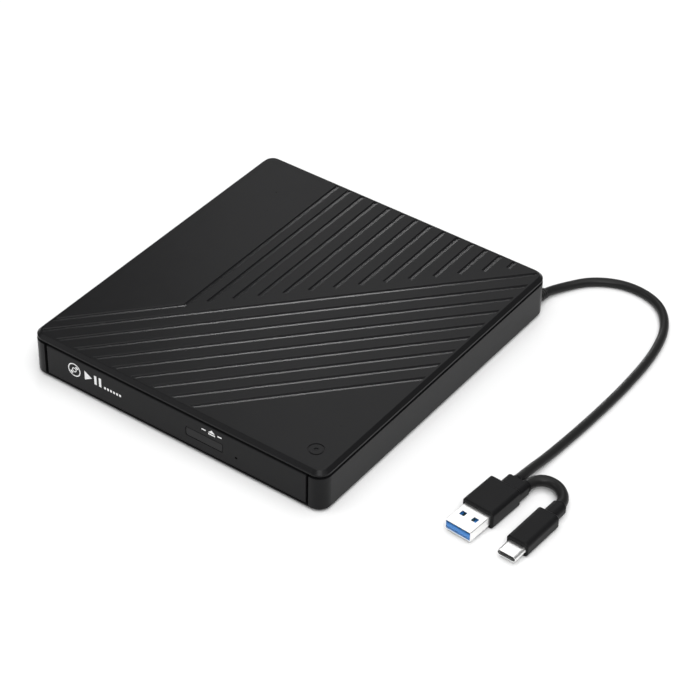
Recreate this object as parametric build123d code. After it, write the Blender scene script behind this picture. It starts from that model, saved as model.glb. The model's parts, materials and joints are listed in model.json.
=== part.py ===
from build123d import *
import os
from math import cos, pi, radians, sin, tan

# External slim optical drive with a fixed cable that ends in a USB-A plug and a USB-C plug.
# Millimetres. +X right and -Y towards the user who faces the tray, +Z up.
# Origin: centre of the case's footprint, on the plane that the rubber feet stand on.

# Case: a tub-shaped lower shell, a shadow gap and a lid
CASE_W, CASE_D = 145.0, 158.0
FOOT_LIFT = 1.0
SHELL_H = 15.7
SEAM = 1.2
LID_H = 2.3
WALL = 2.0
FLOOR = 1.6
CORNER_R = 5.6
SHELL_EDGE_R = 0.9
LID_INSET = 0.15
LID_CORNER_R = 5.4
LID_SKIN = 1.7
LID_BEVEL_IN, LID_BEVEL_DOWN, LID_EDGE_R = 1.5, 1.5, 0.4
SKIRT_T, SKIRT_GAP, SKIRT_DROP, SKIRT_INNER_R = 1.5, 0.3, 0.5, 2.0

SHELL_TOP = FOOT_LIFT + SHELL_H
FLOOR_TOP = FOOT_LIFT + FLOOR
LID_Z = SHELL_TOP + SEAM
CASE_TOP = LID_Z + LID_H
LID_UNDER = CASE_TOP - LID_SKIN
FRONT, BACK = -CASE_D / 2, CASE_D / 2

# Decorative grooves of the lid
GROOVE_FAR, GROOVE_FLOOR, GROOVE_NEAR = -0.5, -0.13, 1.7   # across the groove, from its dark edge
GROOVE_DEPTH = 0.4
GROOVE_PROUD = 0.2                    # how far the groove's cutter stands above the lid
GROOVE_MARGIN = 2.4
GROOVE_LONG, GROOVE_LEAD = 250.0, 30.0
SLANT_DEG = 47.5
SLANT_PITCH = 7.18
SLANT_COUNT = 9
SLANT_FIRST = (6.8, -76.7)            # a point on the slanted groove nearest the front right corner
KINK = (-34.4, -27.8)                 # where the border of the plain field turns
UPRIGHT_X, UPRIGHT_PITCH, UPRIGHT_COUNT = -28.4, 7.09, 13
EMBLEM_XY, EMBLEM_R = (61.2, -67.8), 3.4
EMBLEM_LINE, EMBLEM_DOT_R, EMBLEM_DEPTH = 0.6, 0.9, 0.3

# Feet and screws of the case
FOOT_R, FOOT_POCKET, FOOT_CHAMFER = 5.0, 0.6, 0.3
FOOT_X, FOOT_Y = 58.0, 66.0
CASE_SCREW_X = 67.4
CASE_SCREW_Y = (-52.0, 60.0)
BOSS_R, LID_BOSS_R, BOSS_TOP, LID_BOSS_GAP = 3.0, 2.5, 5.8, 0.1
SCREW_R, SCREW_HEAD_R, SCREW_HEAD_H = 1.0, 2.4, 1.5
SCREW_CLEAR, HEAD_CLEAR = 0.4, 0.2
SCREW_SEAT_Z, SCREW_TIP_Z = 2.9, 13.0
CROSS_R, CROSS_HALF_L, CROSS_HALF_W, CROSS_DEPTH = 0.45, 1.3, 0.25, 0.8

# Floor of the case: ribs, vents and the sunk field for a label; foam pads under the lid
RIB_Y, RIB_HALF_L, RIB_T = (-60.0, -10.0, 40.0), 58.0, 1.5
VENT_W, VENT_L, VENT_R, VENT_Y = 1.6, 12.0, 0.7, 65.0
VENT_PITCH, VENT_COUNT = 4.5, 9
LABEL_W, LABEL_L, LABEL_R, LABEL_Y, LABEL_DEPTH = 64.0, 36.0, 2.0, -8.0, 0.3
FOAM_X, FOAM_Y, FOAM_HALF_W, FOAM_HALF_L = (-46.0, 46.0), (-50.0, 30.0), 8.0, 3.0

# Tray front
BEZEL_HALF_W, BEZEL_SIDE_GAP = 64.6, 1.2
BEZEL_Z, LIP_TOP, BEZEL_EDGE_R = 2.5, 2.0, 0.35
BEZEL_FACE = FRONT + 0.1
BEZEL_BACK = FRONT + 2.2
BUTTON_X, BUTTON_ZC, BUTTON_W, BUTTON_H = 15.6, 8.9, 18.0, 4.0
BUTTON_GAP, BUTTON_R, BUTTON_EDGE_R, BUTTON_SUNK = 0.25, 0.7, 0.3, 0.02
FLANGE_W, FLANGE_H = 2.2, 1.2         # how much wider and higher the button's flange is
FLANGE_FRONT, FLANGE_REAR = 0.2, 0.9  # behind the bezel
PRESS_X = BUTTON_X + BUTTON_W / 2 - 1.9
PRESS_HALF_W, PRESS_REAR, PRESS_Z, PRESS_TOP = 0.9, 1.6, 6.9, 8.5
SWITCH_Y, SWITCH_HALF_W, SWITCH_L, SWITCH_H = 2.7, 1.5, 2.7, 3.1
PLUNGER_R, PLUNGER_OUT, PLUNGER_Z = 0.7, 0.5, 7.7
PINHOLE_X, PINHOLE_Z, PINHOLE_R = 31.2, 7.5, 0.6
BEZEL_TAB_X, BEZEL_TAB_HALF_W, BEZEL_TAB_Z, BEZEL_TAB_TOP = (-45.0, 45.0), 5.0, 7.0, 8.2
BEZEL_TAB_L, BEZEL_TAB_CLEAR = 3.2, 0.1

# Slim drive, 12.7 mm high and 128 mm wide, inside the case
DRIVE_HALF_W, DRIVE_H, DRIVE_Z = 64.0, 12.7, 3.4
DRIVE_FRONT, DRIVE_BACK = -76.2, 50.6
PAN_SHEET, TOP_SHEET = 0.8, 0.6
PAN_TOP = DRIVE_Z + PAN_SHEET
DRIVE_TOP = DRIVE_Z + DRIVE_H
TOP_UNDER = DRIVE_TOP - TOP_SHEET
PAN_INNER = DRIVE_HALF_W - PAN_SHEET
SWAGE_X, SWAGE_Y, SWAGE_W, SWAGE_L, SWAGE_R, SWAGE_DEPTH = (-36.0, 36.0), -14.0, 22.0, 60.0, 5.0, 0.3
PRESSED_R, PRESSED_INNER_R, PRESSED_DEPTH = 46.0, 40.0, 0.25
DRIVE_SCREWS = [(-56.0, 47.5), (56.0, 47.5)]
PIN_R, PIN_HEAD_R, PIN_HEAD_H, PIN_L = 0.8, 1.6, 0.5, 1.4     # small screws of drive and tray
TAB_HALF_W, TAB_AHEAD, TAB_T, TAB_SETBACK = 3.0, 2.5, 0.6, 0.4
FLEX_X, FLEX_HALF_W, FLEX_FRONT, FLEX_REAR = 30.0, 9.0, -12.0, 47.0
FLEX_T, MOVING_FLEX_T = 0.15, 0.2
FLEX_SLOT_HALF_W, FLEX_SLOT_H = 12.0, 1.2

# Connector of the drive and its socket, as half widths, depths from the drive's back, and heights
PLUG_HALF_W, PLUG_DEPTH, PLUG_Z, PLUG_TOP = 15.0, 4.2, 7.2, 11.4
PLUG_CAVITY_HALF_W, PLUG_CAVITY_Y, PLUG_CAVITY_Z, PLUG_CAVITY_TOP = 13.6, 1.4, 8.4, 10.2
SOCKET_HALF_W, SOCKET_Y, SOCKET_REAR, SOCKET_TOP = 16.0, 4.4, 9.4, 12.2
BLADE_HALF_W, BLADE_Y, BLADE_REAR, BLADE_Z, BLADE_TOP = 13.4, 1.8, 4.6, 8.6, 10.0

# Board between the drive and the cable
BOARD_Z, BOARD_T = 6.0, 1.0
BOARD_LEFT, BOARD_RIGHT, BOARD_FRONT, BOARD_REAR = -20.0, 56.0, 54.0, 75.0
BOARD_POSTS = [(-16.0, 58.0), (-16.0, 72.0), (52.0, 71.0)]
POST_R, POST_BORE_R, POST_BORE_DEPTH = 2.4, 0.9, 2.6
BOARD_HOLE_R, BOARD_HEAD_R, BOARD_HEAD_H, BOARD_SCREW_L = 1.1, 2.0, 1.2, 2.4
BRIDGE_CHIPS = [                      # left, right, front, rear, height
    (-6, 1, 61, 68, 1.2), (5, 10, 69, 73, 1.6), (12, 16, 63, 66, 3.4),
]
CAN_X, CAN_Y, CAN_R, CAN_H = (22, 28, 34), 68.5, 2.0, 5.5
SMD_X, SMD_Y, SMD_W, SMD_L, SMD_H = (-10, -6, -2, 2, 6), 56.5, 1.6, 0.8, 0.8

# Telescopic rails
RAIL_FRONT, RAIL_BACK = -75.5, 49.0
RAIL_CLEAR = 0.3
OUTER_RAIL_Z, OUTER_RAIL_TOP, OUTER_RAIL_T = 4.3, 9.5, 0.7
OUTER_RAIL_OUT, OUTER_RAIL_IN = 63.1, 60.3
INNER_RAIL_T, RUNNER_INSET = 0.6, 2.0
INNER_RAIL_OUT, INNER_RAIL_IN = 62.1, 59.7

# Disc tray
TRAY_HALF_W, BODY_HALF_W = 62.8, 58.5
TRAY_FRONT, TRAY_BACK = BEZEL_BACK, 49.2
TRAY_Z, TRAY_DECK_Z, TRAY_TOP = 5.1, 9.8, 13.6
TRAY_SKIN, CAVITY_TOP = 1.5, 9.4
SPINDLE_Y = -13.0
RECESS_R, RECESS_Z = 60.8, 11.2
SMALL_RECESS_R, SMALL_RECESS_Z = 41.0, 10.6
NOTCH_R, NOTCH_XY = 8.0, 46.0
TRAY_CORNER_R = 1.2
SHIELD_Z, SHIELD_HALF_W, SHIELD_FRONT, SHIELD_REAR = 4.7, 57.5, 1.6, 1.0
EMBOSS_X, EMBOSS_Y, EMBOSS_W, EMBOSS_L, EMBOSS_R, EMBOSS_DEPTH = (-44.0, 36.0), -30.0, 26.0, 44.0, 4.0, 0.15
TRAY_SCREW_X, TRAY_SCREW_Y = 54.0, (-70.0, 44.0)
TRAY_POST_R, TRAY_BORE_DEPTH, TRAY_SCREW_L = 2.4, 3.4, 3.2
POCKET_SIDE, POCKET_HIGH, POCKET_DEPTH = 3.0, 2.0, 0.3

# Electronics in the tray
TRAY_BOARD_T = 1.0
TRAY_BOARD = (-50, 50, 10, 42)        # left, right, front, rear
TRAY_BOARD_ARM = (20, 50, -74.4, 10)
TRAY_CHIPS = [                        # left, right, front, rear, height
    (-20, -6, 18, 32, 1.4), (4, 12, 20, 32, 1.2), (-38, -30, 20, 26, 1.2),
    (20, 40, 36, 40, 2.0), (30, 38, -20, -12, 1.2), (-46, -41, 33, 38, 2.0),
]

# Optical deck on the tray: window, frame, motor, sled and lead screw
DECK_LEFT, DECK_RIGHT = -24.6, 19.1
DECK_REAR, DECK_STEP, DECK_TIP = 4.3, -63.8, -72.4
DECK_TIP_HALF_W = 8.3
DECK_CLEAR = 0.2
DECK_PLATE_Z, DECK_PLATE_T = 9.9, 0.6
FRAME_Z, FRAME_TOP, FRAME_FRONT, FRAME_WALL, FRAME_INSET = 5.6, 9.2, -74.6, 1.5, 0.1
DAMPER_R, DAMPERS = 2.0, ((-22, 0), (16.5, 0), (-2, -73.2))
MOTOR_FLOOR, MOTOR_R, MOTOR_EDGE_R = 6.2, 12.6, 0.5
TURNTABLE_R, TURNTABLE_Z, TURNTABLE_TOP = 13.2, 9.5, 11.8
TURNTABLE_CLEAR, TURNTABLE_EDGE_R = 0.5, 0.3
PAD_TOP, PAD_R, PAD_INNER_R = 12.2, 12.7, 9.5
HUB_R, HUB_TOP, HUB_CHAMFER = 7.4, 14.2, 0.7
HUB_DIMPLE_R, HUB_DIMPLE_DEPTH = 2.6, 0.6
PAWL_IN, PAWL_OUT, PAWL_HALF_W, PAWL_Z, PAWL_TOP = 5.4, 7.6, 1.3, 12.5, 13.3
PAWL_CLEAR = 0.15
SHAFT_R, SHAFT_FLOOR, SHAFT_PLAY, RUNNING_FIT = 1.5, 0.6, 0.4, 0.05
ROD_R, ROD_X, ROD_Z, ROD_INSET, ROD_FIT = 1.0, 14.5, 7.6, 0.7, 0.02
ROD_BURIED = 1.8                      # length of a rod's rear end inside the frame
BAY_REAR = -26.8
SLOT_HALF_W, SLOT_FRONT, SLOT_BEHIND = 5.6, 0.8, 6.0
LENS_Y, LENS_R, LENS_TOP, LENS_DOME = -37.0, 2.2, 10.2, 0.45
HOLDER_HALF_W, HOLDER_AHEAD, HOLDER_BEHIND, HOLDER_TOP = 4.8, 3.3, 4.6, 9.6
SLED_HALF_W, SLED_AHEAD, SLED_BEHIND, SLED_Z, SLED_TOP = 16.6, 3.5, 9.4, 5.9, 9.1
SLED_CHAMFER, HOLDER_CHAMFER = 1.0, 0.8
ARM_L, ARM_Z, ARM_TOP, ARM_CLEAR = 2.0, 7.0, 8.2, 0.3
LEAD_X, LEAD_R, LEAD_PITCH, LEAD_THREAD = -20.5, 1.3, 3.0, 0.3
LEAD_END_R, LEAD_END_GAP, LEAD_FRONT, LEAD_REAR, THREAD_START = 0.8, 0.4, 0.3, 3.0, 0.6
STEPPER_R, STEPPER_FRONT, STEPPER_BORE = 2.0, -35.4, 3.3

# Cable and plugs
CORD_D, JUMPER_D = 3.9, 4.6
GLAND_XZ, GLAND_R, GLAND_OUT, GLAND_IN, GLAND_EDGE_R = (67.0, 4.0), 2.7, 1.5, 7.0, 0.5
CORD_ROUTE = [
    (67.0, 79.6, 4.0), (67.3, 86.4, 3.0), (71.1, 95.8, 2.0), (78.8, 106.9, 2.0),
    (92.9, 113.4, 2.0), (109.4, 110.5, 2.0), (119.9, 97.9, 2.0), (124.7, 79.3, 2.0),
    (126.1, 56.5, 2.0), (125.8, 33.2, 2.0), (124.7, 12.3, 2.0), (123.8, -3.6, 2.7),
    (123.05, -14.5, 4.0), (122.3, -24.5, 4.1),
]
JUMPER_ROUTE = [
    (126.85, -23.8, 4.0), (127.4, -18.8, 4.0), (130.7, -14.7, 3.9), (136.2, -14.0, 3.7),
    (140.9, -16.9, 3.4), (143.3, -21.4, 3.3), (143.15, -26.2, 3.3),
]
ARC_SHARE = 0.45                        # share of the shorter run that an arc takes at each end

USB_A_MOUTH, USB_A_TILT = (120.1, -58.1, 4.1), 4.0
USB_A_SHELL_W, USB_A_SHELL_H, USB_A_SHEET = 12.0, 4.5, 0.3
LATCH_X, LATCH_HALF_W, LATCH_Y, LATCH_REAR = (-2.8, 2.8), 1.2, 5.5, 7.9
TONGUE_FRONT, TONGUE_T, TONGUE_ROOT, TONGUE_GAP, TONGUE_CHAMFER = 0.6, 1.9, 9.4, 0.05, 0.25
TONGUE_LOW = USB_A_SHEET + 0.02 - USB_A_SHELL_H / 2
CONTACT_X, CONTACT_HALF_W, CONTACT_T = (-3.5, -1.0, 1.0, 3.5), 0.5, 0.12
CONTACT_FRONT, CONTACT_REAR = 1.4, 9.2
USB_A_BARE, USB_A_GRIP_END, USB_A_END = 12.0, 30.2, 35.2
USB_A_GRIP_W, USB_A_GRIP_H, USB_A_GRIP_R, USB_A_REAR_CUT = 14.6, 8.2, 1.6, 1.2
USB_A_SADDLE_X, USB_A_SADDLE_W, USB_A_SADDLE_H, USB_A_SADDLE_R = 1.9, 10.4, 6.6, 2.0
USB_C_MOUTH, USB_C_TILT = (141.7, -58.0, 3.3), 2.7
USB_C_SHELL_W, USB_C_SHELL_H, USB_C_SHEET = 8.34, 2.56, 0.25
USB_C_BARE, USB_C_GRIP_END, USB_C_END = 6.65, 28.0, 34.2
USB_C_GRIP_W, USB_C_GRIP_H, USB_C_GRIP_R, USB_C_REAR_CUT = 9.8, 6.6, 1.9, 1.1
USB_C_NECK_W, USB_C_NECK_H, USB_C_NECK_R = 6.2, 5.4, 2.2
USB_C_INNER_W, USB_C_INNER_H = USB_C_SHELL_W - 2 * USB_C_SHEET, USB_C_SHELL_H - 2 * USB_C_SHEET
USB_C_SLOT_W, USB_C_SLOT_H, USB_C_SLOT_L = 6.7, 0.8, 6.0
USB_C_CORE_FRONT, USB_C_CORE_PLAY = 0.8, 0.1
GRIP_FRONT_R, SHELL_REAR_T = 0.6, 0.5
SHELL_BURIED = 2.5                      # length of a plug's shell inside its grip

LAP = 1.0           # how far a cutter passes the surface that it cuts
BOND = 0.1          # how far two joined solids enter each other
OVAL_FLAT = 0.01    # half of the flat left between the two rounded corners of an oval's end


# ---------------------------------------------------------------- helpers
def block(x0, x1, y0, y1, z0, z1):
    """A box between two limits on each axis."""
    return Pos((x0 + x1) / 2, (y0 + y1) / 2, (z0 + z1) / 2) * Box(x1 - x0, y1 - y0, z1 - z0)


def slab(width, depth, z0, z1, corner_r, x=0.0, y=0.0):
    """An upright plate with rounded corners, centred on x, y."""
    return Pos(x, y, z0) * extrude(RectangleRounded(width, depth, corner_r), z1 - z0)


def post(radius, z0, z1, x=0.0, y=0.0):
    """An upright cylinder."""
    return Pos(x, y, (z0 + z1) / 2) * Cylinder(radius, z1 - z0)


def rod(radius, y0, y1, x, z):
    """A cylinder that lies along Y."""
    return Pos(x, (y0 + y1) / 2, z) * Rot(90, 0, 0) * Cylinder(radius, y1 - y0)


def bar_y(width, height, y0, y1, corner_r, x=0.0, z=0.0):
    """A bar along Y whose section is a rounded rectangle."""
    section = Plane(origin=(x, y0, z), x_dir=(1, 0, 0), z_dir=(0, 1, 0)) * RectangleRounded(
        width, height, corner_r)
    return extrude(section, y1 - y0)


def oval_y(width, height, y0, y1):
    """A bar along Y whose section has half-round ends."""
    return bar_y(width, height, y0, y1, height / 2 - OVAL_FLAT)


def mirrored(solid):
    """The same shape on the other side of the case."""
    return mirror(solid, about=Plane.YZ)


def group(solids):
    """Separate solids that share one node."""
    return Compound(children=[piece for solid in solids for piece in solid.solids()])


# ---------------------------------------------------------------- case
def case_screw_places():
    return [(side * CASE_SCREW_X, y) for side in (-1, 1) for y in CASE_SCREW_Y]


def foot_places():
    return [(sx * FOOT_X, sy * FOOT_Y) for sx in (-1, 1) for sy in (-1, 1)]


def bottom_case():
    """Lower shell: floor, walls, front lip, corner posts, ribs and screw bosses."""
    shell = slab(CASE_W, CASE_D, FOOT_LIFT, SHELL_TOP, CORNER_R)
    shell = fillet(shell.edges().group_by(Axis.Z)[0], SHELL_EDGE_R)
    shell -= slab(CASE_W - 2 * WALL, CASE_D - 2 * WALL, FLOOR_TOP, SHELL_TOP + LAP, CORNER_R - WALL)
    bay = BEZEL_HALF_W + BEZEL_SIDE_GAP
    shell -= block(-bay, bay, FRONT - LAP, FRONT + WALL + LAP, LIP_TOP, SHELL_TOP + LAP)
    for y in RIB_Y:
        shell += block(-RIB_HALF_L, RIB_HALF_L, y - RIB_T / 2, y + RIB_T / 2, FLOOR_TOP, DRIVE_Z)
    for x, y in case_screw_places():
        shell += post(BOSS_R, FLOOR_TOP, BOSS_TOP, x, y)
        shell -= post(SCREW_R + SCREW_CLEAR, FOOT_LIFT, BOSS_TOP + LAP, x, y)
        shell -= post(SCREW_HEAD_R + HEAD_CLEAR, FOOT_LIFT - LAP, SCREW_SEAT_Z, x, y)
    for x, y in foot_places():
        shell -= post(FOOT_R, FOOT_LIFT - LAP, FOOT_LIFT + FOOT_POCKET, x, y)
    for x, y in BOARD_POSTS:
        shell += post(POST_R, FLOOR_TOP, BOARD_Z, x, y)
        shell -= post(POST_BORE_R, BOARD_Z - POST_BORE_DEPTH, BOARD_Z + LAP, x, y)
    for k in range(VENT_COUNT):
        x = (k - (VENT_COUNT - 1) / 2) * VENT_PITCH
        shell -= slab(VENT_W, VENT_L, FOOT_LIFT - LAP, FLOOR_TOP + LAP, VENT_R, x, VENT_Y)
    shell -= slab(LABEL_W, LABEL_L, FOOT_LIFT - LAP, FOOT_LIFT + LABEL_DEPTH, LABEL_R, 0, LABEL_Y)
    gland_x, gland_z = GLAND_XZ
    return shell - rod(GLAND_R, BACK - GLAND_IN - WALL, BACK + LAP, gland_x, gland_z)


def groove(start, direction_deg, length):
    """A cutter for one groove: a steep dark side and a long bright side that faces away from it."""
    profile = Plane(origin=(start[0], start[1], CASE_TOP),
                    x_dir=(sin(radians(direction_deg)), -cos(radians(direction_deg)), 0),
                    z_dir=(cos(radians(direction_deg)), sin(radians(direction_deg)), 0))
    near_out = GROOVE_NEAR + GROOVE_PROUD * (GROOVE_NEAR - GROOVE_FLOOR) / GROOVE_DEPTH
    section = Polyline((GROOVE_FAR - GROOVE_PROUD / 2, -GROOVE_PROUD), (GROOVE_FLOOR, GROOVE_DEPTH),
                       (near_out, -GROOVE_PROUD), close=True)
    return extrude(profile * make_face(section), length)


def groove_field():
    """All grooves of the lid, trimmed to a margin inside its edge."""
    slant = radians(SLANT_DEG)
    lead_x, lead_y = GROOVE_LEAD * cos(slant), GROOVE_LEAD * sin(slant)
    cutters = []
    for k in range(SLANT_COUNT):
        x = SLANT_FIRST[0] - k * SLANT_PITCH / sin(slant)
        cutters.append(groove((x - lead_x, SLANT_FIRST[1] - lead_y), SLANT_DEG, GROOVE_LONG))
    for k in range(UPRIGHT_COUNT):
        x = UPRIGHT_X + k * UPRIGHT_PITCH
        y = KINK[1] + (x - KINK[0]) * tan(slant)
        cutters.append(groove((x, y), 90, GROOVE_LONG))
    cutters.append(groove(KINK, 90, GROOVE_LONG))
    border = (KINK[0] - 3 * lead_x, KINK[1] - 3 * lead_y)
    cutters.append(groove(border, SLANT_DEG, 3 * GROOVE_LEAD))
    margin = 2 * (LID_INSET + GROOVE_MARGIN)
    field = slab(CASE_W - margin, CASE_D - margin, CASE_TOP - LAP, CASE_TOP + LAP,
                 LID_CORNER_R - GROOVE_MARGIN)
    return [cutter & field for cutter in cutters]


def bevelled(plate):
    """The plate with its top edge cut to a low bevel and the edges of the bevel rounded."""
    top = plate.faces().sort_by(Axis.Z)[-1]
    plate = chamfer(top.edges(), LID_BEVEL_IN, LID_BEVEL_DOWN, reference=top)
    return fillet(plate.edges().group_by(Axis.Z)[-1], LID_EDGE_R)


def top_cover():
    """Lid: bevelled plate with grooves, a skirt inside the walls and screw bosses."""
    width, depth = CASE_W - 2 * LID_INSET, CASE_D - 2 * LID_INSET
    lid = bevelled(slab(width, depth, LID_Z, CASE_TOP, LID_CORNER_R))
    inner = 2 * (WALL + SKIRT_GAP + SKIRT_T)
    lid -= slab(CASE_W - inner, CASE_D - inner, LID_Z - LAP, LID_UNDER, SKIRT_INNER_R)
    skirt = 2 * (WALL + SKIRT_GAP)
    ring = slab(CASE_W - skirt, CASE_D - skirt, SHELL_TOP - SKIRT_DROP, LID_Z + BOND, CORNER_R - WALL)
    ring -= slab(CASE_W - inner, CASE_D - inner, SHELL_TOP - LAP, LID_Z + LAP, SKIRT_INNER_R)
    lid += ring
    for x, y in case_screw_places():
        lid += post(LID_BOSS_R, BOSS_TOP + LID_BOSS_GAP, LID_UNDER + BOND, x, y)
        lid -= post(SCREW_R, BOSS_TOP - LAP, SCREW_TIP_Z + LAP, x, y)
    for cutter in groove_field():
        lid -= cutter
    emblem_x, emblem_y = EMBLEM_XY
    bottom = CASE_TOP - EMBLEM_DEPTH
    lid -= (post(EMBLEM_R, bottom, CASE_TOP + LAP, emblem_x, emblem_y)
            - post(EMBLEM_R - EMBLEM_LINE, bottom - LAP, CASE_TOP + 2 * LAP, emblem_x, emblem_y))
    return lid - post(EMBLEM_DOT_R, bottom, CASE_TOP + LAP, emblem_x, emblem_y)


def case_feet():
    """Four rubber feet, sunk into the floor."""
    feet = [post(FOOT_R, 0, FOOT_LIFT + FOOT_POCKET, x, y) for x, y in foot_places()]
    return group(chamfer(foot.edges().group_by(Axis.Z)[0], FOOT_CHAMFER) for foot in feet)


def case_screws():
    """Four pan-head screws from below, through the shell into the lid's bosses."""
    low = SCREW_SEAT_Z - SCREW_HEAD_H
    deep = low + CROSS_DEPTH
    arm_l, arm_w = CROSS_HALF_L, CROSS_HALF_W
    screws = []
    for x, y in case_screw_places():
        head = post(SCREW_HEAD_R, low, SCREW_SEAT_Z, x, y)
        head -= post(CROSS_R, low - LAP, deep, x, y)
        head -= block(x - arm_l, x + arm_l, y - arm_w, y + arm_w, low - LAP, deep)
        head -= block(x - arm_w, x + arm_w, y - arm_l, y + arm_l, low - LAP, deep)
        screws.append(head + post(SCREW_R, SCREW_SEAT_Z, SCREW_TIP_Z, x, y))
    return group(screws)


def foam_pads():
    """Four foam pads that hold the drive down under the lid."""
    return group(block(x - FOAM_HALF_W, x + FOAM_HALF_W, y - FOAM_HALF_L, y + FOAM_HALF_L,
                       DRIVE_TOP, LID_UNDER) for x in FOAM_X for y in FOAM_Y)


# ---------------------------------------------------------------- drive housing
def drive_pan():
    """Pressed steel pan: floor, two sides and a back wall, open to the front."""
    pan = block(-DRIVE_HALF_W, DRIVE_HALF_W, DRIVE_FRONT, DRIVE_BACK, DRIVE_Z, TOP_UNDER)
    pan -= block(-PAN_INNER, PAN_INNER, DRIVE_FRONT - LAP, DRIVE_BACK - PAN_SHEET, PAN_TOP,
                 TOP_UNDER + LAP)
    pan -= block(FLEX_X - FLEX_SLOT_HALF_W, FLEX_X + FLEX_SLOT_HALF_W, DRIVE_BACK - 2 * LAP,
                 DRIVE_BACK + LAP, PAN_TOP, PAN_TOP + FLEX_SLOT_H)
    for x in SWAGE_X:
        pan -= slab(SWAGE_W, SWAGE_L, DRIVE_Z - LAP, DRIVE_Z + SWAGE_DEPTH, SWAGE_R, x, SWAGE_Y)
    for x, y in DRIVE_SCREWS:
        pan += block(x - TAB_HALF_W, x + TAB_HALF_W, y - TAB_AHEAD, DRIVE_BACK - TAB_SETBACK,
                     TOP_UNDER - TAB_T, TOP_UNDER)
        pan -= post(PIN_R, TOP_UNDER - 2 * LAP, TOP_UNDER + LAP, x, y)
    return pan


def drive_cover():
    """Flat steel lid of the drive, with a shallow pressed ring over the disc."""
    lid = block(-DRIVE_HALF_W, DRIVE_HALF_W, DRIVE_FRONT, DRIVE_BACK, TOP_UNDER, DRIVE_TOP)
    ring = post(PRESSED_R, DRIVE_TOP - PRESSED_DEPTH, DRIVE_TOP + LAP, 0, SPINDLE_Y)
    lid -= ring - post(PRESSED_INNER_R, DRIVE_TOP - LAP, DRIVE_TOP + 2 * LAP, 0, SPINDLE_Y)
    for x, y in DRIVE_SCREWS:
        lid -= post(PIN_R + RUNNING_FIT, TOP_UNDER - LAP, DRIVE_TOP + LAP, x, y)
    return lid


def drive_screws():
    """Small screws through the drive's lid into two tabs of the pan."""
    return group(post(PIN_HEAD_R, DRIVE_TOP, DRIVE_TOP + PIN_HEAD_H, x, y)
                 + post(PIN_R, TOP_UNDER - PIN_L, DRIVE_TOP, x, y) for x, y in DRIVE_SCREWS)


def channel(x_out, x_in, z0, z1, thickness, y0, y1):
    """A C-section along Y whose open side faces the middle of the drive."""
    solid = block(x_in, x_out, y0, y1, z0, z1)
    return solid - block(x_in - LAP, x_out - thickness, y0 - LAP, y1 + LAP, z0 + thickness,
                         z1 - thickness)


def outer_rail():
    """Fixed guide channel on the right wall of the pan."""
    return channel(OUTER_RAIL_OUT, OUTER_RAIL_IN, OUTER_RAIL_Z, OUTER_RAIL_TOP, OUTER_RAIL_T,
                   RAIL_FRONT, RAIL_BACK)


def inner_rail():
    """Sliding channel between the fixed rail and the tray's runner, on the right."""
    inset = OUTER_RAIL_T + RAIL_CLEAR
    return channel(INNER_RAIL_OUT, INNER_RAIL_IN, OUTER_RAIL_Z + inset, OUTER_RAIL_TOP - inset,
                   INNER_RAIL_T, RAIL_FRONT, RAIL_BACK)


def drive_connector():
    """Plug at the back of the drive that carries power and data."""
    rear = DRIVE_BACK + PLUG_DEPTH
    body = block(FLEX_X - PLUG_HALF_W, FLEX_X + PLUG_HALF_W, DRIVE_BACK, rear, PLUG_Z, PLUG_TOP)
    return body - block(FLEX_X - PLUG_CAVITY_HALF_W, FLEX_X + PLUG_CAVITY_HALF_W,
                        DRIVE_BACK + PLUG_CAVITY_Y, rear + LAP, PLUG_CAVITY_Z, PLUG_CAVITY_TOP)


def fixed_flex():
    """Half of the flat flexible cable that lies on the floor of the pan."""
    return block(FLEX_X - FLEX_HALF_W, FLEX_X + FLEX_HALF_W, FLEX_FRONT, DRIVE_BACK - PAN_SHEET,
                 PAN_TOP, PAN_TOP + FLEX_T)


def moving_flex():
    """Half of the flat flexible cable that travels under the tray."""
    return block(FLEX_X - FLEX_HALF_W, FLEX_X + FLEX_HALF_W, FLEX_FRONT, FLEX_REAR,
                 SHIELD_Z - MOVING_FLEX_T, SHIELD_Z)


# ---------------------------------------------------------------- bridge board behind the drive
def bridge_board():
    """Circuit board that turns the drive's port into USB."""
    board = block(BOARD_LEFT, BOARD_RIGHT, BOARD_FRONT, BOARD_REAR, BOARD_Z, BOARD_Z + BOARD_T)
    for x, y in BOARD_POSTS:
        board -= post(BOARD_HOLE_R, BOARD_Z - LAP, BOARD_Z + BOARD_T + LAP, x, y)
    return board


def bridge_chips():
    """Bridge chip, flash chip, crystal and capacitors."""
    top = BOARD_Z + BOARD_T
    chips = [block(*plan, top, top + height) for *plan, height in BRIDGE_CHIPS]
    chips += [post(CAN_R, top, top + CAN_H, x, CAN_Y) for x in CAN_X]
    chips += [block(x, x + SMD_W, SMD_Y, SMD_Y + SMD_L, top, top + SMD_H) for x in SMD_X]
    return group(chips)


def board_socket():
    """Socket on the board that takes the drive's connector."""
    body = block(FLEX_X - SOCKET_HALF_W, FLEX_X + SOCKET_HALF_W, DRIVE_BACK + SOCKET_Y,
                 DRIVE_BACK + SOCKET_REAR, BOARD_Z + BOARD_T, SOCKET_TOP)
    return body + block(FLEX_X - BLADE_HALF_W, FLEX_X + BLADE_HALF_W, DRIVE_BACK + BLADE_Y,
                        DRIVE_BACK + BLADE_REAR, BLADE_Z, BLADE_TOP)


def board_screws():
    """Screws that hold the bridge board on its posts."""
    top = BOARD_Z + BOARD_T
    return group(post(BOARD_HEAD_R, top, top + BOARD_HEAD_H, x, y)
                 + post(POST_BORE_R, BOARD_Z - BOARD_SCREW_L, top, x, y) for x, y in BOARD_POSTS)


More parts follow.
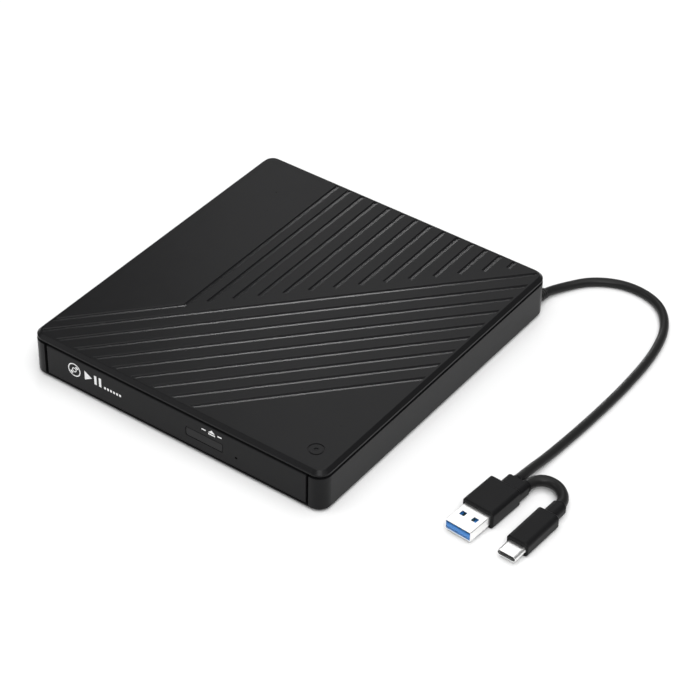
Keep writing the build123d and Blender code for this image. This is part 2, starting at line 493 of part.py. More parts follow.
# ---------------------------------------------------------------- tray
def deck_outline(grow, z0, z1):
    """Plan of the optical deck: a wide part and a narrow tip towards the front."""
    wide = block(DECK_LEFT - grow, DECK_RIGHT + grow, DECK_STEP - grow, DECK_REAR + grow, z0, z1)
    half = DECK_TIP_HALF_W + grow
    return wide + block(-half, half, DECK_TIP - grow, DECK_STEP + LAP, z0, z1)


def tray_screw_places():
    return [(sx * TRAY_SCREW_X, y) for sx in (-1, 1) for y in TRAY_SCREW_Y]


def runner():
    """Tongue on the tray's right side that slides in the inner rail."""
    inset = OUTER_RAIL_T + INNER_RAIL_T + 2 * RAIL_CLEAR
    tip = INNER_RAIL_OUT - INNER_RAIL_T - RAIL_CLEAR
    return block(BODY_HALF_W - BOND, tip, RAIL_FRONT + RUNNER_INSET, RAIL_BACK - RUNNER_INSET,
                 OUTER_RAIL_Z + inset, OUTER_RAIL_TOP - inset)


def disc_tray():
    """Tray moulding: disc recesses on top, a cavity below, runners at the sides."""
    tray = block(-TRAY_HALF_W, TRAY_HALF_W, TRAY_FRONT, TRAY_BACK, TRAY_DECK_Z, TRAY_TOP)
    tray = fillet(tray.edges().filter_by(Axis.Z), TRAY_CORNER_R)
    tray += block(-BODY_HALF_W, BODY_HALF_W, TRAY_FRONT, TRAY_BACK, TRAY_Z, TRAY_DECK_Z)
    tray -= block(-BODY_HALF_W + TRAY_SKIN, BODY_HALF_W - TRAY_SKIN, TRAY_FRONT + TRAY_SKIN,
                  TRAY_BACK - TRAY_SKIN, TRAY_Z - LAP, CAVITY_TOP)
    tray -= post(RECESS_R, RECESS_Z, TRAY_TOP + LAP, 0, SPINDLE_Y)
    tray -= post(SMALL_RECESS_R, SMALL_RECESS_Z, TRAY_TOP + LAP, 0, SPINDLE_Y)
    for sx in (-1, 1):
        for sy in (-1, 1):
            tray -= post(NOTCH_R, RECESS_Z, TRAY_TOP + LAP, sx * NOTCH_XY, SPINDLE_Y + sy * NOTCH_XY)
    tray -= deck_outline(DECK_CLEAR, CAVITY_TOP - LAP, TRAY_TOP + LAP)
    tray += runner() + mirrored(runner())
    for x, y in tray_screw_places():
        tray += post(TRAY_POST_R, TRAY_Z, CAVITY_TOP + BOND, x, y)
        tray -= post(PIN_R, TRAY_Z - LAP, TRAY_Z + TRAY_BORE_DEPTH, x, y)
    half_w, half_h = (BUTTON_W + POCKET_SIDE) / 2, (BUTTON_H + POCKET_HIGH) / 2
    tray -= block(BUTTON_X - half_w, BUTTON_X + half_w, TRAY_FRONT - LAP,
                  TRAY_FRONT + TRAY_SKIN + POCKET_DEPTH, BUTTON_ZC - half_h, BUTTON_ZC + half_h)
    tray -= rod(PINHOLE_R + HEAD_CLEAR, TRAY_FRONT - LAP, TRAY_FRONT + 2 * LAP, PINHOLE_X, PINHOLE_Z)
    half = BEZEL_TAB_HALF_W + BEZEL_TAB_CLEAR
    for x in BEZEL_TAB_X:
        tray -= block(x - half, x + half, TRAY_FRONT - LAP, TRAY_FRONT + 2 * LAP,
                      BEZEL_TAB_Z - BEZEL_TAB_CLEAR, BEZEL_TAB_TOP + 2 * BEZEL_TAB_CLEAR)
    return tray


def tray_bezel():
    """Front panel of the tray with the button's opening and the emergency pinhole."""
    bezel = block(-BEZEL_HALF_W, BEZEL_HALF_W, BEZEL_FACE, BEZEL_BACK, BEZEL_Z, SHELL_TOP)
    bezel = fillet(bezel.edges().group_by(Axis.Y)[0], BEZEL_EDGE_R)
    gap = 2 * BUTTON_GAP
    bezel -= bar_y(BUTTON_W + gap, BUTTON_H + gap, BEZEL_FACE - LAP, BEZEL_BACK + LAP,
                   BUTTON_R + HEAD_CLEAR, BUTTON_X, BUTTON_ZC)
    bezel -= rod(PINHOLE_R, BEZEL_FACE - LAP, BEZEL_BACK + LAP, PINHOLE_X, PINHOLE_Z)
    for x in BEZEL_TAB_X:
        bezel += block(x - BEZEL_TAB_HALF_W, x + BEZEL_TAB_HALF_W, BEZEL_BACK - BOND,
                       BEZEL_BACK + BEZEL_TAB_L, BEZEL_TAB_Z, BEZEL_TAB_TOP)
    return bezel


def eject_button():
    """Button with a flange behind the bezel and a short post towards the switch."""
    button = bar_y(BUTTON_W, BUTTON_H, BEZEL_FACE + BUTTON_SUNK,
                   BEZEL_BACK + FLANGE_FRONT + BOND, BUTTON_R, BUTTON_X, BUTTON_ZC)
    button = fillet(button.edges().group_by(Axis.Y)[0], BUTTON_EDGE_R)
    button += bar_y(BUTTON_W + FLANGE_W, BUTTON_H + FLANGE_H, BEZEL_BACK + FLANGE_FRONT,
                    BEZEL_BACK + FLANGE_REAR, BUTTON_R, BUTTON_X, BUTTON_ZC)
    return button + block(PRESS_X - PRESS_HALF_W, PRESS_X + PRESS_HALF_W,
                          BEZEL_BACK + FLANGE_REAR - BOND, BEZEL_BACK + PRESS_REAR, PRESS_Z,
                          PRESS_TOP)


def eject_switch():
    """Push switch on the tray's board, behind the button."""
    y, z = BEZEL_BACK + SWITCH_Y, TRAY_Z + TRAY_BOARD_T
    body = block(PRESS_X - SWITCH_HALF_W, PRESS_X + SWITCH_HALF_W, y, y + SWITCH_L, z, z + SWITCH_H)
    return body + rod(PLUNGER_R, y - PLUNGER_OUT, y + BOND, PRESS_X, PLUNGER_Z)


def tray_shield():
    """Thin steel plate that closes the tray from below."""
    plate = block(-SHIELD_HALF_W, SHIELD_HALF_W, TRAY_FRONT + SHIELD_FRONT,
                  TRAY_BACK - SHIELD_REAR, SHIELD_Z, TRAY_Z)
    for x, y in tray_screw_places():
        plate -= post(PIN_HEAD_R + RUNNING_FIT, SHIELD_Z - LAP, TRAY_Z + LAP, x, y)
    for x in EMBOSS_X:
        plate -= slab(EMBOSS_W, EMBOSS_L, SHIELD_Z - LAP, SHIELD_Z + EMBOSS_DEPTH, EMBOSS_R, x,
                      EMBOSS_Y)
    return plate


def tray_screws():
    """Four flat-head screws that hold the steel plate to the tray."""
    return group(post(PIN_HEAD_R, SHIELD_Z, TRAY_Z, x, y)
                 + post(PIN_R, TRAY_Z, TRAY_Z + TRAY_SCREW_L, x, y)
                 for x, y in tray_screw_places())


def tray_board():
    """L-shaped circuit board in the tray, with an arm that reaches the switch."""
    top = TRAY_Z + TRAY_BOARD_T
    return block(*TRAY_BOARD, TRAY_Z, top) + block(*TRAY_BOARD_ARM, TRAY_Z, top)


def tray_chips():
    """Controller, motor driver, memory and the socket of the flexible cable."""
    top = TRAY_Z + TRAY_BOARD_T
    return group(block(*plan, top, top + height) for *plan, height in TRAY_CHIPS)


# ---------------------------------------------------------------- optical deck
def deck_frame():
    """Frame that carries the motor, the rods and the lead screw."""
    left, right = DECK_LEFT + FRAME_INSET, DECK_RIGHT - FRAME_INSET
    rear = DECK_REAR - FRAME_INSET
    frame = block(left, right, FRAME_FRONT, rear, FRAME_Z, FRAME_TOP)
    frame += block(left, right, DECK_STEP + FRAME_INSET, rear, FRAME_TOP - BOND, DECK_PLATE_Z)
    frame -= block(left + FRAME_WALL, right - FRAME_WALL, FRAME_FRONT + FRAME_WALL, BAY_REAR,
                   FRAME_Z - LAP, DECK_PLATE_Z + LAP)
    frame -= post(MOTOR_R + RAIL_CLEAR, MOTOR_FLOOR, DECK_PLATE_Z + LAP, 0, SPINDLE_Y)
    frame -= post(TURNTABLE_R + TURNTABLE_CLEAR, FRAME_TOP, DECK_PLATE_Z + LAP, 0, SPINDLE_Y)
    for x in (-ROD_X, ROD_X):
        frame -= rod(ROD_R + ROD_FIT, FRAME_FRONT + ROD_INSET - BOND, BAY_REAR + 2 * LAP, x, ROD_Z)
    return frame - rod(LEAD_END_R + RUNNING_FIT, FRAME_FRONT - LAP, FRAME_FRONT + 2 * FRAME_WALL,
                       LEAD_X, ROD_Z)


def deck_dampers():
    """Three rubber cushions between the frame and the steel plate."""
    return group(post(DAMPER_R, TRAY_Z, FRAME_Z, x, y) for x, y in DAMPERS)


def deck_plate():
    """Black cover plate around the turntable, with the lens slot."""
    top = DECK_PLATE_Z + DECK_PLATE_T
    plate = deck_outline(0, DECK_PLATE_Z, top)
    plate -= post(TURNTABLE_R + TURNTABLE_CLEAR + BOND, DECK_PLATE_Z - LAP, top + LAP, 0, SPINDLE_Y)
    return plate - block(-SLOT_HALF_W, SLOT_HALF_W, DECK_TIP + SLOT_FRONT, LENS_Y + SLOT_BEHIND,
                         DECK_PLATE_Z - LAP, top + LAP)


def guide_rods():
    """Two steel rods that guide the sled."""
    return group(rod(ROD_R, FRAME_FRONT + ROD_INSET, BAY_REAR + ROD_BURIED, x, ROD_Z)
                 for x in (-ROD_X, ROD_X))


def spindle_motor():
    """Flat motor with the bearing of the turntable's shaft."""
    motor = post(MOTOR_R, MOTOR_FLOOR, FRAME_TOP, 0, SPINDLE_Y)
    motor = fillet(motor.edges().group_by(Axis.Z)[-1], MOTOR_EDGE_R)
    floor = MOTOR_FLOOR + SHAFT_FLOOR
    return motor - post(SHAFT_R + RUNNING_FIT, floor, FRAME_TOP + LAP, 0, SPINDLE_Y)


def spindle_hub():
    """Turntable, centring hub and shaft in one turned piece."""
    hub = post(TURNTABLE_R, TURNTABLE_Z, TURNTABLE_TOP, 0, SPINDLE_Y)
    hub = fillet(hub.edges().group_by(Axis.Z)[-1], TURNTABLE_EDGE_R)
    nose = post(HUB_R, TURNTABLE_TOP - BOND, HUB_TOP, 0, SPINDLE_Y)
    hub += chamfer(nose.edges().group_by(Axis.Z)[-1], HUB_CHAMFER)
    hub -= post(HUB_DIMPLE_R, HUB_TOP - HUB_DIMPLE_DEPTH, HUB_TOP + LAP, 0, SPINDLE_Y)
    for cutter in pawl_blocks(PAWL_CLEAR):
        hub -= cutter
    foot = MOTOR_FLOOR + SHAFT_FLOOR + SHAFT_PLAY
    return hub + post(SHAFT_R, foot, TURNTABLE_Z + BOND, 0, SPINDLE_Y)


def pawl_blocks(grow):
    """Three radial blocks around the hub, larger by grow on each side."""
    half = PAWL_HALF_W + grow
    blocks = []
    for turn in (30, 150, 270):
        pawl = block(PAWL_IN - grow, PAWL_OUT + grow, -half, half, PAWL_Z - grow, PAWL_TOP + grow)
        blocks.append(Pos(0, SPINDLE_Y, 0) * Rot(0, 0, turn) * pawl)
    return blocks


def hub_pad():
    """Rubber ring that grips the disc."""
    ring = post(PAD_R, TURNTABLE_TOP, PAD_TOP, 0, SPINDLE_Y)
    return ring - post(PAD_INNER_R, TURNTABLE_TOP - LAP, PAD_TOP + LAP, 0, SPINDLE_Y)


def pickup_sled():
    """Laser sled: a body on the two rods with an arm towards the lead screw."""
    front, rear = LENS_Y - SLED_AHEAD, LENS_Y + SLED_BEHIND
    sled = block(-SLED_HALF_W, SLED_HALF_W, front, rear, SLED_Z, SLED_TOP)
    sled = chamfer(sled.edges().filter_by(Axis.Z), SLED_CHAMFER)
    for x in (-ROD_X, ROD_X):
        sled -= rod(ROD_R + RUNNING_FIT, front - LAP, rear + LAP, x, ROD_Z)
    return sled + block(LEAD_X + LEAD_R + ARM_CLEAR, LAP - SLED_HALF_W, LENS_Y - ARM_L, LENS_Y,
                        ARM_Z, ARM_TOP)


def lens_holder():
    """Frame of the lens, carried by the sled."""
    holder = block(-HOLDER_HALF_W, HOLDER_HALF_W, LENS_Y - HOLDER_AHEAD, LENS_Y + HOLDER_BEHIND,
                   SLED_TOP, HOLDER_TOP)
    return chamfer(holder.edges().filter_by(Axis.Z), HOLDER_CHAMFER)


def objective_lens():
    """Lens with a shallow dome."""
    lens = post(LENS_R, HOLDER_TOP, LENS_TOP, 0, LENS_Y)
    return fillet(lens.edges().group_by(Axis.Z)[-1], LENS_DOME)


def lead_screw():
    """Screw that moves the sled; ring-shaped threads stand in for its helix."""
    front, rear = FRAME_FRONT + FRAME_WALL + LEAD_END_GAP, STEPPER_FRONT - LEAD_END_GAP
    screw = rod(LEAD_R - LEAD_THREAD, front, rear, LEAD_X, ROD_Z)
    for k in range(int((rear - front) / LEAD_PITCH)):
        start = front + THREAD_START + k * LEAD_PITCH
        screw += rod(LEAD_R, start, start + LEAD_PITCH / 2, LEAD_X, ROD_Z)
    ends = rod(LEAD_END_R, FRAME_FRONT + LEAD_FRONT, STEPPER_FRONT + LEAD_REAR, LEAD_X, ROD_Z)
    return screw + ends


def stepper_motor():
    """Small motor at the end of the lead screw."""
    motor = rod(STEPPER_R, STEPPER_FRONT, BAY_REAR - DECK_CLEAR, LEAD_X, ROD_Z)
    return motor - rod(LEAD_END_R + RUNNING_FIT, STEPPER_FRONT - LAP, STEPPER_FRONT + STEPPER_BORE,
                       LEAD_X, ROD_Z)


# ---------------------------------------------------------------- cable and plugs
def corner_radii(points):
    """Largest tangent arc at each corner of a route."""
    radii = []
    for before, corner, after in zip(points, points[1:], points[2:]):
        run_in, run_out = Vector(*corner) - Vector(*before), Vector(*after) - Vector(*corner)
        half_turn = radians(run_in.get_angle(run_out)) / 2
        radii.append(ARC_SHARE * min(run_in.length, run_out.length) / tan(half_turn))
    return radii


def tube(name, points, diameter):
    """Round cord along straight runs joined by tangent arcs."""
    radii = corner_radii(points)
    path = FilletPolyline(*points, radius=radii)
    section = Plane(origin=path @ 0, z_dir=path % 0) * Circle(diameter / 2)
    cord = sweep(section, path=path)
    expected = pi * diameter ** 2 / 4 * path.length
    print(name, "length %.1f, volume ratio %.4f, radii" % (path.length, cord.volume / expected),
          [round(r, 1) for r in radii])
    return cord


def main_cord():
    return tube("main_cord", CORD_ROUTE, CORD_D)


def jumper_cord():
    return tube("jumper_cord", JUMPER_ROUTE, JUMPER_D)


def cable_gland():
    """Rubber grommet in the back wall, moulded onto the start of the cable."""
    x, z = GLAND_XZ
    gland = rod(GLAND_R, BACK - GLAND_IN, BACK + GLAND_OUT, x, z)
    return fillet(gland.edges().group_by(Axis.Y)[-1], GLAND_EDGE_R)


def place_usb_a(solid):
    return Pos(*USB_A_MOUTH) * Rot(0, 0, -USB_A_TILT) * solid


def place_usb_c(solid):
    return Pos(*USB_C_MOUTH) * Rot(0, 0, -USB_C_TILT) * solid


def usb_a_grip():
    """Moulded grip of the USB-A plug and the saddle that both cords leave from."""
    grip = bar_y(USB_A_GRIP_W, USB_A_GRIP_H, USB_A_BARE, USB_A_GRIP_END, USB_A_GRIP_R)
    grip = chamfer(grip.edges().group_by(Axis.Y)[-1], USB_A_REAR_CUT)
    grip = fillet(grip.edges().group_by(Axis.Y)[0], GRIP_FRONT_R)
    grip += bar_y(USB_A_SADDLE_W, USB_A_SADDLE_H, USB_A_GRIP_END - LAP, USB_A_END, USB_A_SADDLE_R,
                  USB_A_SADDLE_X)
    end = USB_A_BARE + SHELL_BURIED
    return place_usb_a(grip - bar_y(USB_A_SHELL_W, USB_A_SHELL_H, USB_A_BARE - LAP, end, USB_A_SHEET))


def usb_a_shell():
    """Steel shell of the USB-A plug with two latch windows on each wide face."""
    sheet = USB_A_SHEET
    end = USB_A_BARE + SHELL_BURIED
    shell = bar_y(USB_A_SHELL_W, USB_A_SHELL_H, 0, end, sheet)
    shell -= bar_y(USB_A_SHELL_W - 2 * sheet, USB_A_SHELL_H - 2 * sheet, -LAP, end - SHELL_REAR_T,
                   sheet / 3)
    for x in LATCH_X:
        shell -= block(x - LATCH_HALF_W, x + LATCH_HALF_W, LATCH_Y, LATCH_REAR, -USB_A_SHELL_H,
                       USB_A_SHELL_H)
    return place_usb_a(shell)


def usb_a_tongue():
    """Insulator in the lower half of the USB-A shell."""
    low = TONGUE_LOW
    half = USB_A_SHELL_W / 2 - USB_A_SHEET - TONGUE_GAP
    end = USB_A_BARE + SHELL_BURIED - SHELL_REAR_T
    tongue = block(-half, half, TONGUE_FRONT, end, low, low + TONGUE_T)
    tongue += block(-half, half, TONGUE_ROOT, end, low + TONGUE_T - BOND, -low)
    front_edges = tongue.edges().group_by(Axis.Y)[0].filter_by(Axis.X)
    return place_usb_a(chamfer(front_edges, TONGUE_CHAMFER))


def usb_a_contacts():
    """Gold-plated contacts on the tongue."""
    low = TONGUE_LOW + TONGUE_T
    return place_usb_a(group(block(x - CONTACT_HALF_W, x + CONTACT_HALF_W, CONTACT_FRONT,
                                   CONTACT_REAR, low, low + CONTACT_T) for x in CONTACT_X))


def usb_c_grip():
    """Moulded grip of the USB-C plug and its neck."""
    grip = bar_y(USB_C_GRIP_W, USB_C_GRIP_H, USB_C_BARE, USB_C_GRIP_END, USB_C_GRIP_R)
    grip = chamfer(grip.edges().group_by(Axis.Y)[-1], USB_C_REAR_CUT)
    grip = fillet(grip.edges().group_by(Axis.Y)[0], GRIP_FRONT_R)
    grip += bar_y(USB_C_NECK_W, USB_C_NECK_H, USB_C_GRIP_END - LAP, USB_C_END, USB_C_NECK_R)
    return place_usb_c(grip - oval_y(USB_C_SHELL_W, USB_C_SHELL_H, USB_C_BARE - LAP,
                                     USB_C_BARE + SHELL_BURIED))


def usb_c_shell():
    """Oval steel shell of the USB-C plug."""
    end = USB_C_BARE + SHELL_BURIED
    shell = oval_y(USB_C_SHELL_W, USB_C_SHELL_H, 0, end)
    return place_usb_c(shell - oval_y(USB_C_INNER_W, USB_C_INNER_H, -LAP, end - SHELL_REAR_T))


def usb_c_core():
    """Insulator inside the USB-C shell, with the slot for the socket's tongue."""
    core = oval_y(USB_C_INNER_W - USB_C_CORE_PLAY, USB_C_INNER_H - USB_C_CORE_PLAY,
                  USB_C_CORE_FRONT, USB_C_BARE + SHELL_BURIED - SHELL_REAR_T)
    return place_usb_c(core - bar_y(USB_C_SLOT_W, USB_C_SLOT_H, 0, USB_C_SLOT_L, USB_C_SLOT_H / 4))


# ---------------------------------------------------------------- export
NODES = {
    "bottom_case": bottom_case,
    "top_cover": top_cover,
    "case_feet": case_feet,
    "case_screws": case_screws,
    "foam_pads": foam_pads,
    "drive_pan": drive_pan,
    "drive_cover": drive_cover,
    "drive_screws": drive_screws,
    "outer_rail_right": outer_rail,
    "outer_rail_left": lambda: mirrored(outer_rail()),
    "inner_rail_right": inner_rail,
    "inner_rail_left": lambda: mirrored(inner_rail()),
    "drive_connector": drive_connector,
    "fixed_flex": fixed_flex,
    "moving_flex": moving_flex,
    "bridge_board": bridge_board,
    "bridge_chips": bridge_chips,
    "board_socket": board_socket,
    "board_screws": board_screws,
    "disc_tray": disc_tray,
    "tray_bezel": tray_bezel,
    "eject_button": eject_button,
    "eject_switch": eject_switch,
    "tray_shield": tray_shield,
    "tray_screws": tray_screws,
    "tray_board": tray_board,
    "tray_chips": tray_chips,
    "deck_frame": deck_frame,
    "deck_dampers": deck_dampers,
    "deck_plate": deck_plate,
    "guide_rods": guide_rods,
    "spindle_motor": spindle_motor,
    "spindle_hub": spindle_hub,
    "hub_pad": hub_pad,
    "hub_pawls": lambda: group(pawl_blocks(0.0)),
    "pickup_sled": pickup_sled,
    "lens_holder": lens_holder,
    "objective_lens": objective_lens,
    "lead_screw": lead_screw,
    "stepper_motor": stepper_motor,
    "cable_gland": cable_gland,
    "main_cord": main_cord,
    "jumper_cord": jumper_cord,
    "usb_a_grip": usb_a_grip,
    "usb_a_shell": usb_a_shell,
    "usb_a_tongue": usb_a_tongue,
    "usb_a_contacts": usb_a_contacts,
    "usb_c_grip": usb_c_grip,
    "usb_c_shell": usb_c_shell,
    "usb_c_core": usb_c_core,
}

os.makedirs("parts", exist_ok=True)
for node_name, make in NODES.items():
    export_step(make(), "parts/" + node_name + ".step")
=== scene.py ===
import json
import math

import bmesh
import bpy
from mathutils import Matrix, Vector


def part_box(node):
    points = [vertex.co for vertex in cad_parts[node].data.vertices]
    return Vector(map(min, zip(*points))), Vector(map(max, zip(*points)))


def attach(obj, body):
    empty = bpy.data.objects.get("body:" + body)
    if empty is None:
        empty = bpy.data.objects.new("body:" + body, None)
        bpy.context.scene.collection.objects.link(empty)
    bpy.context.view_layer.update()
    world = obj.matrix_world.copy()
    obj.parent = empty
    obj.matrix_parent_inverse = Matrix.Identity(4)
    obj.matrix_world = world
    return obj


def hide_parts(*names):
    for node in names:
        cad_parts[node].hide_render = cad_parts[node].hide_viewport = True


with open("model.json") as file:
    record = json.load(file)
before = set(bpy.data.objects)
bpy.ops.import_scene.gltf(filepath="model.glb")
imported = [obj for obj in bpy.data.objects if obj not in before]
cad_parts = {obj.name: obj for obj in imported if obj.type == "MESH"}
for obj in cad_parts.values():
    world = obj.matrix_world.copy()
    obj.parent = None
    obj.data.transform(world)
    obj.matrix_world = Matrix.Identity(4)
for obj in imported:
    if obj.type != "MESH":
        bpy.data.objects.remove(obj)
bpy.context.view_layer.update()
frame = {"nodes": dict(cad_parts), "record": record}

MM = 0.001
NODES = frame["nodes"]
SLOT_OF = {part["node"]: part["material_slot"] for part in frame["record"]["subparts"]}


# ---------------------------------------------------------------- camera
CAMERA_AZIMUTH, CAMERA_ELEVATION, CAMERA_ROLL = 36.78, 38.76, 0.15
CAMERA_DISTANCE = 1.0014
CAMERA_LENS, CAMERA_SENSOR = 124.87, 36.0    # millimetres
CAMERA_CLIP = (0.05, 20.0)
AIM_RIGHT, AIM_DOWN = 0.02296, 0.00486    # slope of the line of sight beside the case's centre


def make_camera():
    """Looks past the case's centre, so that the case stands left of the middle of the picture."""
    base_low, base_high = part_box("bottom_case")
    target = Vector(((base_low.x + base_high.x) / 2, (base_low.y + base_high.y) / 2, base_low.z))
    az, el = math.radians(CAMERA_AZIMUTH), math.radians(CAMERA_ELEVATION)
    back = Vector((math.sin(az) * math.cos(el), -math.cos(az) * math.cos(el), math.sin(el)))
    level = Vector((math.cos(az), math.sin(az), 0.0))
    right = Matrix.Rotation(math.radians(CAMERA_ROLL), 3, back) @ level
    up = back.cross(right)
    axis_z = (back - right * AIM_RIGHT + up * AIM_DOWN).normalized()
    axis_x = (right - axis_z * right.dot(axis_z)).normalized()
    axis_y = axis_z.cross(axis_x)
    turn = Matrix((axis_x, axis_y, axis_z)).transposed().to_4x4()
    data = bpy.data.cameras.new("camera")
    data.sensor_width, data.lens = CAMERA_SENSOR, CAMERA_LENS
    data.clip_start, data.clip_end = CAMERA_CLIP
    camera = bpy.data.objects.new("camera", data)
    bpy.context.scene.collection.objects.link(camera)
    camera.matrix_world = Matrix.Translation(target + back * CAMERA_DISTANCE) @ turn
    bpy.context.scene.camera = camera


make_camera()


# ---------------------------------------------------------------- cords
CORD_D, LINK_D = 3.9 * MM, 4.6 * MM
CORD_ROUTE = [
    (67.0, 79.6, 4.0), (67.3, 86.4, 3.0), (71.1, 95.8, 2.0), (78.8, 106.9, 2.0),
    (92.9, 113.4, 2.0), (109.4, 110.5, 2.0), (119.9, 97.9, 2.0), (124.7, 79.3, 2.0),
    (126.1, 56.5, 2.0), (125.8, 33.2, 2.0), (124.7, 12.3, 2.0), (123.8, -3.6, 2.7),
    (123.05, -14.5, 4.0), (122.3, -24.5, 4.1),
]
LINK_ROUTE = [
    (126.85, -23.8, 4.0), (127.4, -18.8, 4.0), (130.7, -14.7, 3.9), (136.2, -14.0, 3.7),
    (140.9, -16.9, 3.4), (143.3, -21.4, 3.3), (143.15, -26.2, 3.3),
]
CORD_STEPS, CORD_ROUNDNESS = 16, 8        # smoothness along a cord and round it

RELIEF_SIDES = 40
RIB_PROFILE = ((0, 0), (0.62, 0.05), (0.70, 0.28), (0.94, 0.30))    # share of a rib, sunk by mm
RIBBED_TIP = (0.25, 0.18)                 # length and depth of the chamfer at a ribbed sleeve's end
SHOULDER_AT, SHOULDER_RISE = 0.7, 0.12
PLAIN_TIP = (0.2, 0.12)


def make_cord(name, route, diameter):
    """A round cord on one smooth curve, with the route's points as its control points."""
    curve = bpy.data.curves.new(name, "CURVE")
    curve.dimensions = "3D"
    spline = curve.splines.new("NURBS")
    spline.points.add(len(route) - 1)
    for point, place in zip(spline.points, route):
        point.co = (place[0] * MM, place[1] * MM, place[2] * MM, 1.0)
        point.radius = diameter / 2
    spline.order_u = 3
    spline.use_endpoint_u = True
    spline.resolution_u = CORD_STEPS
    curve.bevel_depth = 1.0         # scaled by the radius of each point
    curve.bevel_resolution = CORD_ROUNDNESS
    curve.use_fill_caps = True
    cord = bpy.data.objects.new(name, curve)
    bpy.context.scene.collection.objects.link(cord)
    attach(cord, "case")
    return cord


def strain_relief(name, start, toward, profile):
    """Tapered sleeve on a cord. The profile gives distance and radius in millimetres."""
    origin = Vector(start) * MM
    axis = (Vector(toward) - Vector(start)).normalized()
    side = axis.cross(Vector((0, 0, 1))).normalized()
    up = side.cross(axis)
    turns = [2 * math.pi * k / RELIEF_SIDES for k in range(RELIEF_SIDES)]
    spokes = [side * math.cos(turn) + up * math.sin(turn) for turn in turns]
    shape = bmesh.new()
    rings = []
    for distance, radius in profile:
        centre = origin + axis * distance * MM
        rings.append([shape.verts.new(centre + outward * radius * MM) for outward in spokes])
    for ring, following in zip(rings, rings[1:]):
        for k in range(RELIEF_SIDES):
            other = (k + 1) % RELIEF_SIDES
            shape.faces.new((ring[k], ring[other], following[other], following[k])).smooth = True
    shape.faces.new(rings[0][::-1])
    shape.faces.new(rings[-1])
    bmesh.ops.recalc_face_normals(shape, faces=shape.faces)
    mesh = bpy.data.meshes.new(name)
    shape.to_mesh(mesh)
    shape.free()
    sleeve = bpy.data.objects.new(name, mesh)
    bpy.context.scene.collection.objects.link(sleeve)
    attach(sleeve, "case")
    return sleeve


def ribbed(length, wide, narrow, ribs):
    """Profile of a sleeve that tapers and has a shallow groove after each rib."""
    step = length / ribs
    profile = []
    for k in range(ribs):
        radius = wide + (narrow - wide) * k / ribs
        profile += [((k + along) * step, radius - sunk) for along, sunk in RIB_PROFILE]
    return profile + [(length, narrow), (length + RIBBED_TIP[0], narrow - RIBBED_TIP[1])]


def plain(length, wide, narrow):
    """Profile of a smooth short sleeve."""
    return [(0, wide), (SHOULDER_AT * length, narrow + SHOULDER_RISE), (length, narrow),
            (length + PLAIN_TIP[0], narrow - PLAIN_TIP[1])]


main_cord = make_cord("cable", CORD_ROUTE, CORD_D)
link_cord = make_cord("link_cable", LINK_ROUTE, LINK_D)
back_relief = strain_relief("relief_back", (67.05, 80.3, 3.92), (67.5, 84.7, 3.28),
                            ribbed(5.4, 2.6, 2.35, 4))
saddle_relief = strain_relief("relief_saddle", (122.4, -23.2, 4.09), (122.65, -20.0, 4.06),
                              plain(2.6, 2.55, 2.1))
link_relief = strain_relief("relief_link", (126.9, -23.4, 4.0), (127.25, -21.1, 4.0),
                            plain(1.9, 2.8, 2.5))
neck_relief = strain_relief("relief_neck", (143.25, -24.1, 3.3), (143.25, -21.5, 3.3),
                            plain(1.6, 2.65, 2.45))
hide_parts("main_cord")
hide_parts("jumper_cord")


